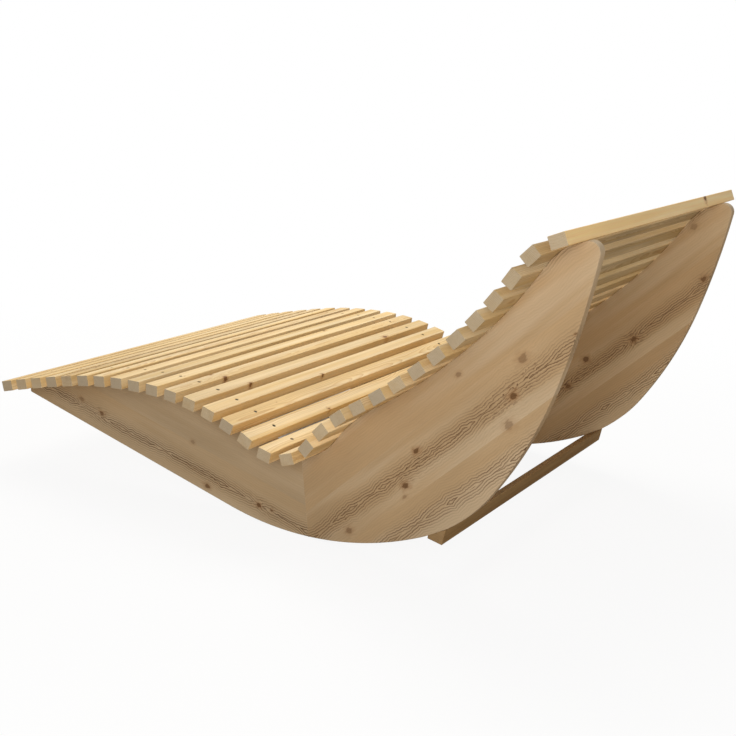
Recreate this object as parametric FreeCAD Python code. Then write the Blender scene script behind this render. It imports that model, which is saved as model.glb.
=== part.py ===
import FreeCAD, Part
import math
import os

# A rocking lounger of softwood: battens laid across two tall side panels.
# The panels stand on their curved lower edges, and their wavy upper edges carry the battens.
# +X points to the head, +Z up, and a person who lies on the seat has -Y on the left.
# The origin is on the floor, in the middle of the length and of the width.
# Lengths are in millimetres and angles in degrees.

# Battens of the seat
slat_count = 31
slat_width = 40.0
slat_thickness = 30.0
slat_length = 1200.0
slat_gap = 23.0
slat_arris = 1.5
slat_seat_clearance = 0.1

# Seat line, the upper edge of a panel, from the foot to the head.
# It rises from the foot and is a chain of arcs, each of which goes on from the last.
# An arc has a radius and the angle that it turns through, which is positive where it curves up.
foot_reach = 956.9
foot_height = 211.9
foot_rise_angle = 15.4
shin_radius = 5580.0
shin_angle = -3.0
knee_radius = 1335.0
knee_angle = -12.5
thigh_radius = 730.0
thigh_angle = -27.5
hip_radius = 140.0
hip_angle = 83.0
waist_radius = 405.0
waist_angle = -22.5
spine_radius = 1500.0
spine_angle = 13.0
shoulder_radius = 1115.0
shoulder_angle = 12.0
head_radius = 140.0
head_angle = -36.0

# Rocker line, the lower edge of a panel. It is straight under the legs and runs into the rocker arc,
# which touches the floor where the load is balanced. The heel arc turns it up, and two more arcs
# carry it to the head corner, which stands a margin past the last batten.
rocker_radius = 896.0
rocker_rear_angle = 27.2
heel_radius = 418.0
heel_angle = 28.7
head_corner_margin = 38.9
head_corner_angle = 82.2

# Side panels, each a leg board and a back board. They meet on a seam, which starts at the seat line
# behind the last batten of the legs and leans to the foot.
board_thickness = 27.0
board_inset = 100.0
board_arris = 2.0
foot_tip_margin = 2.0
foot_tip_height = 22.0
foot_tip_radius = 5.0
head_corner_radius = 25.0
leg_slat_count = 16
seam_past_slat = 27.2
seam_lean_angle = 7.8

# Loose tongue, glued into a stopped groove on both sides of the seam
tongue_thickness = 9.0
tongue_width = 60.0
tongue_end_margin = 20.0
tongue_clearance = 0.2

# Crossbar, a wedge that stops the backward rocking. Its sloping top lies under the back boards,
# along the rocker line, and that edge of the boards is planed flat for it.
# Its underside and its rear face are square to each other, and its lowest edge is the rear one.
# The thin front edge is cut back, which leaves it a few millimetres thick.
bar_past_contact = 415.0
bar_seat_length = 65.8
bar_cut_back = 9.0
bar_tilt_angle = 10.1
bar_arris = 2.0
bar_seat_clearance = 0.1

# Countersunk screws, one through every batten into each panel, and a pair at each bar end
slat_screw_length = 70.0
slat_screw_radius = 2.25
slat_screw_head_radius = 4.5
slat_screw_head_depth = 3.0
bar_screw_length = 90.0
bar_screw_radius = 3.0
bar_screw_head_radius = 6.0
bar_screw_head_depth = 4.0
bar_screw_spacing = 22.0
screw_sink = 1.5
screw_clearance = 0.25

# A screw is drawn with a few flat sides, which keeps its many copies light
screw_sides = 6

# How far a cutting shape runs past what it cuts
overrun = 20.0

# How near to the plane of the seam a corner counts as lying in it
seam_tolerance = 0.05

# How much of an edge's direction lies along Y when the edge counts as running across the lounger
crosswise_share = 0.5

# Shares of a batten's width at which it is tried against the edge below it
seat_try_shares = [-0.375, -0.25, -0.125, 0.0, 0.125, 0.25, 0.375]
bisection_steps = 40


def direction(heading):
    """The unit vector of a heading in the XZ plane."""
    return math.cos(math.radians(heading)), math.sin(math.radians(heading))


def along(place, heading, distance):
    """The point that lies a distance from a place in the direction of a heading."""
    step = direction(heading)
    return (place[0] + distance * step[0], place[1] + distance * step[1])


def heading_to(here, there):
    """The heading from one place to another."""
    return math.degrees(math.atan2(there[1] - here[1], there[0] - here[0]))


def point(place, y=0.0):
    """A place in the XZ plane as a point of space."""
    return FreeCAD.Vector(place[0], y, place[1])


class Line:
    """A line in the XZ plane: arcs that follow each other smoothly, and straight on past both ends."""

    def __init__(self, start, heading, arcs):
        self.start = start
        self.heading = heading
        self.runs = []
        self.length = 0.0
        for radius, turn in arcs:
            side = heading + math.copysign(90.0, turn)
            centre = along(start, side, radius)
            self.runs.append((self.length, heading, radius, turn, centre))
            start = along(centre, side + 180.0 + turn, radius)
            heading += turn
            self.length += radius * math.radians(abs(turn))
        self.end = start
        self.end_heading = heading

    def at(self, distance):
        """The place and the heading at a distance along the line."""
        if distance <= 0.0:
            return along(self.start, self.heading, distance), self.heading
        if distance >= self.length:
            return along(self.end, self.end_heading, distance - self.length), self.end_heading
        run = [run for run in self.runs if run[0] <= distance][-1]
        before, heading, radius, turn, centre = run
        turned = math.copysign(math.degrees((distance - before) / radius), turn)
        outward = heading - math.copysign(90.0, turn)
        return along(centre, outward + turned, radius), heading + turned

    def edges(self, first, last):
        """The stretch of the line between two distances, as edges at Y = 0."""
        joints = [run[0] for run in self.runs] + [self.length]
        stops = [first] + [joint for joint in joints if first < joint < last] + [last]
        shapes = []
        for near, far in zip(stops, stops[1:]):
            here, middle, there = [point(self.at(place)[0]) for place in (near, (near + far) / 2, far)]
            if near >= self.length or far <= 0.0:
                shapes.append(Part.makeLine(here, there))
            else:
                shapes.append(Part.Arc(here, middle, there).toShape())
        return shapes


def joining_arcs(start, heading, end, end_heading):
    """Two arcs, as (radius, turn), that carry a line on smoothly from a start to an end.

    The tangents at the two ends are equally long, and the arcs meet halfway between their tips.
    The length follows from that: the tips lie two tangents apart.
    """
    gap = (end[0] - start[0], end[1] - start[1])
    before = direction(heading)
    after = direction(end_heading)
    across = gap[0] * (before[0] + after[0]) + gap[1] * (before[1] + after[1])
    bend = 2 * (1 - before[0] * after[0] - before[1] * after[1])
    tangent = (math.sqrt(across**2 + bend * math.hypot(*gap)**2) - across) / bend
    tips = (along(start, heading, tangent), along(end, end_heading, -tangent))
    middle_heading = heading_to(*tips)
    arcs = []
    for turn in (middle_heading - heading, end_heading - middle_heading):
        arcs.append((tangent / math.tan(math.radians(abs(turn) / 2)), turn))
    return arcs


def stand(shape, place, y, heading):
    """Turn a shape, drawn with its length along +X, to a heading and set it at a place."""
    turn = FreeCAD.Rotation(FreeCAD.Vector(0, 1, 0), -heading)
    placed = shape.copy()
    placed.Placement = FreeCAD.Placement(point(place, y), turn).multiply(shape.Placement)
    return placed


def eased_beam(width, length, height, arris):
    """A beam with its underside on Z = 0, its middle over the origin and its long edges eased."""
    beam = Part.makeBox(width, length, height, FreeCAD.Vector(-width / 2, -length / 2, 0))
    return beam.makeChamfer(arris, crosswise_edges(beam))


def eased_wedge(width, length, height, thin_height, arris):
    """Such a beam, but with its top sloping down to a lower height on its -X side."""
    half = width / 2
    places = [(-half, 0), (half, 0), (half, height), (-half, thin_height), (-half, 0)]
    corners = [point(place) for place in places]
    wedge = Part.Face(Part.makePolygon(corners)).extrude(FreeCAD.Vector(0, length, 0))
    wedge.translate(FreeCAD.Vector(0, -length / 2, 0))
    return wedge.makeChamfer(arris, crosswise_edges(wedge))


def runs_across(edge):
    """Whether an edge runs along Y, across the lounger."""
    return abs(edge.tangentAt(edge.FirstParameter).y) > crosswise_share


def crosswise_edges(solid):
    """The edges that run along Y, across the lounger."""
    return [edge for edge in solid.Edges if runs_across(edge)]


def turned(stations):
    """A rod along Z through a list of (height, radius), with flat sides."""
    rings = []
    for height, radius in stations:
        ring = []
        for side in range(screw_sides + 1):
            angle = 2 * math.pi * side / screw_sides
            ring.append(FreeCAD.Vector(radius * math.cos(angle), radius * math.sin(angle), height))
        rings.append(ring)
    outlines = [rings[0], rings[-1]]
    for low, high in zip(rings, rings[1:]):
        for side in range(screw_sides):
            here, there = low[side], low[side + 1]
            outlines.append([here, there, high[side + 1], high[side], here])
    return Part.Solid(Part.Shell([Part.Face(Part.makePolygon(corners)) for corners in outlines]))


def screw(length, radius, head_radius, head_depth):
    """A countersunk screw that points down from the face it is driven into, at Z = 0."""
    top = -screw_sink
    return turned([(top - length, radius), (top - head_depth, radius), (top, head_radius)])


def screw_bore(length, radius, head_radius, head_depth):
    """The hole that such a screw needs, open above the face."""
    top = -screw_sink
    return turned([
        (top - length - screw_clearance, radius + screw_clearance),
        (top - head_depth - screw_clearance, radius + screw_clearance),
        (top, head_radius + screw_clearance),
        (overrun, head_radius + screw_clearance),
    ])


slat_screw = (slat_screw_length, slat_screw_radius, slat_screw_head_radius, slat_screw_head_depth)
bar_screw = (bar_screw_length, bar_screw_radius, bar_screw_head_radius, bar_screw_head_depth)


# Seat line, with the point where the panel touches the floor at X = 0, Z = 0

seat_line = Line((-foot_reach, foot_height), foot_rise_angle, [
    (shin_radius, shin_angle),
    (knee_radius, knee_angle),
    (thigh_radius, thigh_angle),
    (hip_radius, hip_angle),
    (waist_radius, waist_angle),
    (spine_radius, spine_angle),
    (shoulder_radius, shoulder_angle),
    (head_radius, head_angle),
])


# Places of the battens on the seat line

class Batten:
    """A batten that lies on the seat line with the middle of its width at a distance along it."""

    def __init__(self, distance):
        half = slat_width / 2
        rear = seat_line.at(distance - half)[0]
        front = seat_line.at(distance + half)[0]
        self.distance = distance
        self.heading = heading_to(rear, front)
        middle = ((rear[0] + front[0]) / 2, (rear[1] + front[1]) / 2)
        lift = slat_seat_clearance + self.highest_edge(middle)
        self.foot = along(middle, self.heading + 90.0, lift)

    def highest_edge(self, middle):
        """How far the edge of the panel stands above the chord under the batten."""
        level = direction(self.heading)
        rises = [0.0]
        for share in seat_try_shares:
            place = seat_line.at(self.distance + share * slat_width)[0]
            run = place[0] - middle[0]
            rise = place[1] - middle[1]
            rises.append(rise * level[0] - run * level[1])
        return max(rises)

    def corner(self, side, height):
        """A corner of the section: side is -1 towards the foot and 1 towards the head."""
        below = along(self.foot, self.heading, side * slat_width / 2)
        return along(below, self.heading + 90.0, height)

    def gap_to(self, following):
        """The room between this batten and the next, where they stand closest."""
        gaps = []
        for height in (0.0, slat_thickness):
            gaps.append(math.dist(self.corner(1, height), following.corner(-1, height)))
        return min(gaps)


def lay_battens():
    """Lay the battens from the foot to the head, each a spacer's width from the last."""
    battens = [Batten(slat_width / 2)]
    while len(battens) < slat_count:
        last = battens[-1]
        near = last.distance + slat_width
        far = near + 2 * (slat_gap + slat_width)
        for step in range(bisection_steps):
            middle = (near + far) / 2
            if last.gap_to(Batten(middle)) < slat_gap:
                near = middle
            else:
                far = middle
        battens.append(Batten(far))
    return battens


battens = lay_battens()
seat_end = battens[-1].distance + slat_width / 2


# Rocker line, which starts where the straight edge from the foot tip runs into the rocker arc

foot_tip = seat_line.at(-foot_tip_margin)[0]
foot_tip_below = (foot_tip[0], foot_tip[1] - foot_tip_height)
rocker_centre = (0.0, rocker_radius)
tip_from_centre = math.dist(foot_tip_below, rocker_centre)
tip_angle = math.degrees(math.asin(rocker_radius / tip_from_centre))
leg_heading = heading_to(foot_tip_below, rocker_centre) - tip_angle
leg_edge_length = math.sqrt(tip_from_centre**2 - rocker_radius**2)
rocker_start = along(foot_tip_below, leg_heading, leg_edge_length)

head_corner = seat_line.at(seat_end + head_corner_margin)[0]
rocker_arcs = [(rocker_radius, rocker_rear_angle - leg_heading), (heel_radius, heel_angle)]
heel = Line(rocker_start, leg_heading, rocker_arcs)
rocker_arcs += joining_arcs(heel.end, heel.end_heading, head_corner, head_corner_angle)
rocker_line = Line(rocker_start, leg_heading, rocker_arcs)
contact_distance = rocker_radius * math.radians(-leg_heading)


# Whole panel: its outline, cut from a board, with its foot tip and its head corner rounded

outline = seat_line.edges(-foot_tip_margin, seat_end + head_corner_margin)
outline += rocker_line.edges(-leg_edge_length, rocker_line.length)[::-1]
outline.append(Part.makeLine(point(foot_tip_below), point(foot_tip)))

panel_outer_y = slat_length / 2 - board_inset
panel_middle_y = panel_outer_y - board_thickness / 2
panel_sides = {"left": -panel_middle_y, "right": panel_middle_y}


def rounded_panel():
    """A whole panel about Y = 0."""
    solid = Part.Face(Part.Wire(outline)).extrude(FreeCAD.Vector(0, board_thickness, 0))
    solid.translate(FreeCAD.Vector(0, -board_thickness / 2, 0))
    tips = sorted(crosswise_edges(solid), key=lambda edge: edge.CenterOfMass.x)[:2]
    solid = solid.makeFillet(foot_tip_radius, tips)
    head = max(crosswise_edges(solid), key=lambda edge: edge.CenterOfMass.x + edge.CenterOfMass.z)
    return solid.makeFillet(head_corner_radius, [head])


panel = rounded_panel()


# The two boards of a panel, made in place with shapes drawn square to the seam

seam_top = seat_line.at(battens[leg_slat_count - 1].distance + slat_width / 2 + seam_past_slat)[0]
seam_foot = (seam_top[0] + seam_top[1] * math.tan(math.radians(seam_lean_angle)), 0.0)
panel_reach = panel.BoundBox.DiagonalLength


def height_on_seam(vertex):
    """How far up the seam a corner stands, or nothing if it isn't on the seam."""
    away = (vertex.X - seam_foot[0], vertex.Z - seam_foot[1])
    square = direction(seam_lean_angle)
    if abs(away[0] * square[0] + away[1] * square[1]) < seam_tolerance:
        return away[1] * square[0] - away[0] * square[1]


def on_seam(shape):
    """Whether an edge or a face lies in the plane of the seam."""
    return all(height_on_seam(vertex) is not None for vertex in shape.Vertexes)


def board(low_x, high_x):
    """The part of a panel between two planes along the seam, with eased edges except on the seam."""
    width = board_thickness + 2 * overrun
    corner = FreeCAD.Vector(low_x, -width / 2, -panel_reach)
    keep = Part.makeBox(high_x - low_x, width, 2 * panel_reach, corner)
    solid = panel.common(stand(keep, seam_foot, 0, seam_lean_angle)).Solids[0]
    rim = []
    for edge in solid.Edges:
        if not runs_across(edge) and not on_seam(edge):
            rim.append(edge)
    return solid.makeChamfer(board_arris, rim)


leg_board = board(-panel_reach, 0)
back_board = board(0, panel_reach)


# Loose tongue between the two boards. The screws of the battens reach into the upper edge,
# and the tongue ends below them.

screw_reach = slat_screw_length + screw_sink - slat_thickness
seam_face = [face for face in leg_board.Faces if on_seam(face)][0]
seam_heights = [height_on_seam(vertex) for vertex in seam_face.Vertexes]


def tongue_box(clearance):
    """The tongue, or with a clearance the groove that holds it."""
    low = min(seam_heights) + tongue_end_margin - clearance
    high = max(seam_heights) - screw_reach - tongue_end_margin + clearance
    width = tongue_width + 2 * clearance
    thickness = tongue_thickness + 2 * clearance
    corner = FreeCAD.Vector(-width / 2, -thickness / 2, low)
    return stand(Part.makeBox(width, thickness, high - low, corner), seam_foot, 0, seam_lean_angle)


tongue = tongue_box(0)
leg_board = leg_board.cut(tongue_box(tongue_clearance))
back_board = back_board.cut(tongue_box(tongue_clearance))


# Crossbar, and the flat on the boards that it lies against. The flat is a chord of the rocker line,
# and the wedge is the right-angled one that fits between it and the bar's underside.

bar_distance = contact_distance + bar_past_contact
bar_front = rocker_line.at(bar_distance)[0]
bar_rear = rocker_line.at(bar_distance + bar_seat_length)[0]
bar_seat = math.dist(bar_front, bar_rear)
bar_seat_heading = heading_to(bar_front, bar_rear)
bar_heading = -bar_tilt_angle
bar_wedge_angle = bar_seat_heading - bar_heading
bar_width = bar_seat * math.cos(math.radians(bar_wedge_angle)) - bar_cut_back
bar_height = bar_seat * math.sin(math.radians(bar_wedge_angle))
bar_thin_height = bar_cut_back * math.tan(math.radians(bar_wedge_angle))
bar_foot = along(bar_front, bar_heading, bar_cut_back + bar_width / 2)
bar = eased_wedge(bar_width, 2 * panel_outer_y, bar_height, bar_thin_height, bar_arris)

flat_length = bar_seat + 2 * overrun
flat_width = board_thickness + 2 * overrun
flat_corner = FreeCAD.Vector(-overrun, -flat_width / 2, bar_seat_clearance - overrun)
flat = Part.makeBox(flat_length, flat_width, overrun, flat_corner)
back_board = back_board.cut(stand(flat, bar_front, 0, bar_seat_heading))


# Screws and their bores

slat_blank = eased_beam(slat_width, slat_length, slat_thickness, slat_arris)
slat_bores = []
for y in panel_sides.values():
    slat_bores.append(stand(screw_bore(*slat_screw), (0, slat_thickness), y, 0))
slat = slat_blank.cut(slat_bores)

panel_bores = []
slat_screws = []
for batten in battens:
    top = batten.corner(0, slat_thickness)
    panel_bores.append(stand(screw_bore(*slat_screw), top, 0, batten.heading))
    for y in panel_sides.values():
        slat_screws.append(stand(screw(*slat_screw), top, y, batten.heading))

bar_bores = []
bar_screws = []
for side in (-1, 1):
    place = along(bar_foot, bar_heading, side * bar_screw_spacing / 2)
    panel_bores.append(stand(screw_bore(*bar_screw), place, 0, bar_heading + 180))
    for y in panel_sides.values():
        bar_bores.append(stand(screw_bore(*bar_screw), (side * bar_screw_spacing / 2, 0), y, 180))
        bar_screws.append(stand(screw(*bar_screw), place, y, bar_heading + 180))
bar = bar.cut(bar_bores)
leg_board = leg_board.cut(panel_bores)
back_board = back_board.cut(panel_bores)


# The pieces in their places

nodes = {}
for number, batten in enumerate(battens, 1):
    nodes[f"slat_{number:02d}"] = stand(slat, batten.foot, 0, batten.heading)
for side, y in panel_sides.items():
    nodes[side + "_leg_board"] = stand(leg_board, (0, 0), y, 0)
    nodes[side + "_back_board"] = stand(back_board, (0, 0), y, 0)
    nodes[side + "_seam_tongue"] = stand(tongue, (0, 0), y, 0)
nodes["crossbar"] = stand(bar, bar_foot, 0, bar_heading)
nodes["slat_screws"] = Part.makeCompound(slat_screws)
nodes["crossbar_screws"] = Part.makeCompound(bar_screws)

# The origin goes to the middle of the length; the floor and the middle of the width are there already
whole = Part.makeCompound(list(nodes.values())).optimalBoundingBox(False)
to_origin = FreeCAD.Vector(-(whole.XMin + whole.XMax) / 2, 0, 0)

os.makedirs("parts", exist_ok=True)
for name, shape in nodes.items():
    shape.translate(to_origin)
    shape.exportStep(os.path.join("parts", name + ".step"))

solids = [solid for shape in nodes.values() for solid in shape.Solids]
volume_centre = Part.makeCompound(solids).CenterOfGravity
print("length", round(whole.XLength, 1), "width", round(whole.YLength, 1), "height", round(whole.ZLength, 1))
print("contact with the floor at X =", round(to_origin.x, 1))
print("centre of volume at X =", round(volume_centre.x, 1), "Z =", round(volume_centre.z, 1))
print("crossbar's underside at X =", round(bar_foot[0] + to_origin.x, 2), "Z =", round(bar_foot[1], 2))
print("nodes", len(nodes), "solids", len(solids))
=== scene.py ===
# %% [markdown]
# # A rocking lounger of softwood battens
#
# The lounger is made of two tall side panels of softwood and of battens laid across them.
# Nothing on it is soft or painted: its whole look is sawn and planed wood, so most of this
# lesson is about wood. The construction is loaded first and stays where it is. Battens,
# boards, crossbar and screws are then made again as finer surfaces in the same places.

import math

import bmesh
import bpy
import numpy as np
from mathutils import Matrix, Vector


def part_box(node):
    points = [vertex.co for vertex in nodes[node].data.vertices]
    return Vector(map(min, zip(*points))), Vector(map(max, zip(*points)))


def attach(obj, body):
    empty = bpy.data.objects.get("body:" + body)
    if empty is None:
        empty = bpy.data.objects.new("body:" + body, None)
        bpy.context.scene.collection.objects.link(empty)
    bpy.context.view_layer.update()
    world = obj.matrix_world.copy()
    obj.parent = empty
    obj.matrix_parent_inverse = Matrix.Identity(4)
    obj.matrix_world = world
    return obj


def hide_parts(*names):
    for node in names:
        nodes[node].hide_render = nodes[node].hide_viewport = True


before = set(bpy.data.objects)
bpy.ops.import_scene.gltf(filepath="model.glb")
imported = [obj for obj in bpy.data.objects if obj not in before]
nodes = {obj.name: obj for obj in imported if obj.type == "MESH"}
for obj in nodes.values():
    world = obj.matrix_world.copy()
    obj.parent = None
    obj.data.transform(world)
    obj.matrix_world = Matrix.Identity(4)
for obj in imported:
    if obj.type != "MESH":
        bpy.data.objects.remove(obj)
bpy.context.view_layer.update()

# %% [markdown]
# ## The camera
#
# A camera could be placed by eye, but here every batten end in the photograph was matched
# with its place on the construction, and that gave one camera. It stands beyond the left
# side of the head end and looks across the seat to the foot, a little down. It is also
# rolled by some degrees, because the lounger rests where it balances.

# %% Camera
camera_place = (1.696, -2.707, 1.187)
camera_turn = math.radians(31.98)
camera_pitch = math.radians(15.21)
camera_roll = math.radians(2.65)
camera_lens = 55.41


def camera_axes(turn, pitch, roll):
    """Right, up and forward: turned about +Z, tipped down, then rolled about forward."""
    ahead = (-math.sin(turn) * math.cos(pitch), math.cos(turn) * math.cos(pitch))
    forward = np.array([*ahead, -math.sin(pitch)])
    level = np.array([math.cos(turn), math.sin(turn), 0.0])
    upright = np.cross(level, forward)
    right = math.cos(roll) * level + math.sin(roll) * upright
    return right, np.cross(right, forward), forward


right, up, forward = camera_axes(camera_turn, camera_pitch, camera_roll)
placing = np.eye(4)
placing[:3] = np.column_stack([right, up, -forward, camera_place])
camera = bpy.data.objects.new("camera", bpy.data.cameras.new("camera"))
camera.data.lens = camera_lens
camera.matrix_world = Matrix(placing.tolist())
bpy.context.scene.collection.objects.link(camera)
bpy.context.scene.camera = camera
print("camera at", camera_place, "with a lens of", camera_lens, "mm")

# %% [markdown]
# ## Shader maths as plain expressions
#
# A material is a tree of nodes, and a formula such as `1 - mask * depth` takes three of them.
# Wiring them by hand hides the formula. Here one small class wraps an output socket and lets
# Python's operators add the Math nodes, so that the wood below reads like its formula.

# %% A socket with operators
class Field:
    """An output socket of a material's tree. Operators on it add Math nodes."""

    def __init__(self, tree, socket=None):
        self.tree = tree
        self.socket = socket

    def add(self, kind, settings=None, inputs=None, output=0):
        """A new node: its settings first, then its sockets' values or links; returns one output."""
        node = self.tree.nodes.new(kind)
        for name, value in (settings or {}).items():
            setattr(node, name, value)
        for name, value in (inputs or {}).items():
            if isinstance(value, Field):
                self.tree.links.new(value.socket, node.inputs[name])
            else:
                node.inputs[name].default_value = value
        return Field(self.tree, node.outputs[output])

    def math(self, operation, *values):
        return self.add("ShaderNodeMath", {"operation": operation}, dict(enumerate(values)))

    def __add__(self, other):
        return self.math("ADD", self, other)

    def __radd__(self, other):
        return self.math("ADD", other, self)

    def __sub__(self, other):
        return self.math("SUBTRACT", self, other)

    def __rsub__(self, other):
        return self.math("SUBTRACT", other, self)

    def __mul__(self, other):
        return self.math("MULTIPLY", self, other)

    def __rmul__(self, other):
        return self.math("MULTIPLY", other, self)

    def __truediv__(self, other):
        return self.math("DIVIDE", self, other)

    def __rtruediv__(self, other):
        return self.math("DIVIDE", other, self)

    def __pow__(self, other):
        return self.math("POWER", self, other)

    def step(self, low, high):
        """A smooth step: 0 at low, 1 at high, and held there."""
        settings = {"interpolation_type": "SMOOTHSTEP"}
        inputs = {"Value": self, "From Min": low, "From Max": high}
        return self.add("ShaderNodeMapRange", settings, inputs)

    def mix(self, low, high):
        """A mix of two colours, by this field."""
        inputs = {"Factor": self, 6: low, 7: high}
        return self.add("ShaderNodeMix", {"data_type": "RGBA"}, inputs, output=2)


def linear(red, green, blue):
    """A colour as a screen shows it, 0 to 255, as the linear one that nodes work with."""
    shares = np.array([red, green, blue]) / 255
    straight = np.where(shares <= 0.04045, shares / 12.92, ((shares + 0.055) / 1.055) ** 2.4)
    return (*straight.tolist(), 1.0)


print("a mid beige is", np.round(linear(200, 170, 130), 3).tolist(), "in linear light")

# %% [markdown]
# ## Wood that is cut from a tree
#
# Wood could be drawn as stripes on each face, but then the stripes of two faces never meet
# at an edge. Here the wood is a solid, as in a tree. Every point of a piece knows how far it
# lies along the grain (u), across it (v) and through it (w). Growth rings are shells round
# the pith, a line along u that wanders a little. A piece cut beside the pith shows straight
# lines, one cut over it shows nested arches, and the end grain shows arcs, all from one rule.
# The boards of the photograph have pointed arches with jagged lines, so the distance from the
# pith can also be measured in a pointed way.

# %% Growth rings
def carried(field, name, output):
    """What a piece carries on its points under a name: output 1 is a vector, 2 a number."""
    settings = {"attribute_type": "GEOMETRY", "attribute_name": name}
    return field.add("ShaderNodeAttribute", settings, output=output)


def parts_of(vector):
    """The three parts of a vector field."""
    return [vector.add("ShaderNodeSeparateXYZ", inputs={"Vector": vector}, output=k) for k in range(3)]


def noise(u, v, w, scale, detail=2.0):
    """Soft noise from 0 to 1, with its own scale along, across and through the grain."""
    place = u.add("ShaderNodeCombineXYZ", inputs={0: u * scale[0], 1: v * scale[1], 2: w * scale[2]})
    return u.add("ShaderNodeTexNoise", inputs={"Vector": place, "Scale": 1.0, "Detail": detail})


late_wood_power = 2.6
late_wood_stop = 0.90
palest_year = 0.6
years_apart = 13.0


def own_number(field):
    """A random number from 0 to 1 that belongs to the value of a field."""
    return field.add("ShaderNodeTexWhiteNoise", {"noise_dimensions": "1D"}, {"W": field})


def ring_lines(u, v, w, pith, figure, bulge):
    """Growth rings as late wood from 0 to 1, and how far across the grain the pith lies.

    With a and d the parts of the distance from the pith line, across and through the grain,
    the distance is (a^2 + d^2)^0.5 for round arches and |a| + |d| for pointed ones. Divided by
    the ring spacing, it is split into whole rings and a rest. Late wood is the rest when it
    nears 1: it darkens slowly and stops sharply. Some years are darker than others.
    """
    sway = noise(u, pith[2], 0.0 * u, (1.3, 1.0, 1.0), detail=1.0) - 0.5
    dive = noise(u, pith[2], 0.0 * u + 7.3, (figure["dips"], 1.0, 1.0), detail=2.5) - 0.5
    grit = noise(u, v, w + pith[2], (66.0, 18.0, 18.0), detail=4.0) - 0.5
    across = v - pith[0] - sway * figure["sway"] - grit * figure["jag"]
    depth = w - pith[1] - dive * figure["dive"]
    if figure["pointed"]:
        distance = (across * across) ** 0.5 + (depth * depth) ** 0.5 + bulge
    else:
        distance = (across * across + depth * depth) ** 0.5 + bulge
    rings = distance / figure["spacing"]
    rest = rings.math("FRACT", rings)
    year = rings.math("FLOOR", rings) + pith[2] * years_apart
    darkness = own_number(year) * (1 - palest_year) + palest_year
    return (rest ** late_wood_power) * (1 - rest.step(late_wood_stop, 1.0)) * darkness, across


print("a ring is darkest at", late_wood_stop, "of its width, counted from the pith")

# %% Knots and staves
knot_along = 0.5
knot_through = 0.2
knot_grit = 1.5
knot_smooth = 0.25


def knot_reach(u, v, depth, knot, grit):
    """How far a point is from a knot, where 1 is its rim. A knot is longer along the grain."""
    along, across = u - knot[0], v - knot[1]
    distance = along * along * knot_along + across * across + depth * depth * knot_through
    return distance ** 0.5 / knot[2] * (grit * knot_grit + knot_smooth)


def by_stave(v, staves, part):
    """One number of the stave that a point lies in: a step is added at every glue line."""
    value = v * 0.0 + staves[0][part]
    for before, stave in zip(staves, staves[1:]):
        value = value + v.math("GREATER_THAN", v, stave[0]) * (stave[part] - before[part])
    return value


print("a knot is", round(knot_along ** -0.5, 2), "times as long as it is wide")

# %% A wood material
raw_end = (linear(198, 184, 160), linear(154, 135, 109))
# The tint in screw holes is partly a dark stain round the screws and partly painted shade in their
# recesses.
hole_stain_and_shade_tint = linear(62, 43, 27)
knot_rim = (0.6, 1.05)
halo_rim = (0.6, 2.4)
core_strength, halo_strength = 0.8, 0.5
core_shares = (0.64, 0.60, 0.50)
knot_bulge, bulge_fade = 1.6, 0.5
batten_knot_depth = 0.012
faintest_rings = 0.07
band_rim = (0.38, 0.62)
fibre_light = 0.2
least_raw = 0.6
planed_roughness = 0.62

# The figure of a wood, its lengths in metres. Spacing is the width of a ring. The pith sways
# across the grain and dives through it, with so many dips in a metre. Jag is how far the
# lines are jagged. Rings is how strongly they show, mostly within a reach of the pith. Bands
# is how many there are across a metre. Streaks and clouds are shares of light and dark.
plain_figure = {
    "spacing": 0.0030, "sway": 0.03, "dive": 0.05, "dips": 2.4, "jag": 0.0028, "pointed": False,
    "rings": 0.5, "reach": 0.03, "bands": 42.0, "streaks": 0.22, "clouds": 0.20,
}


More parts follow.
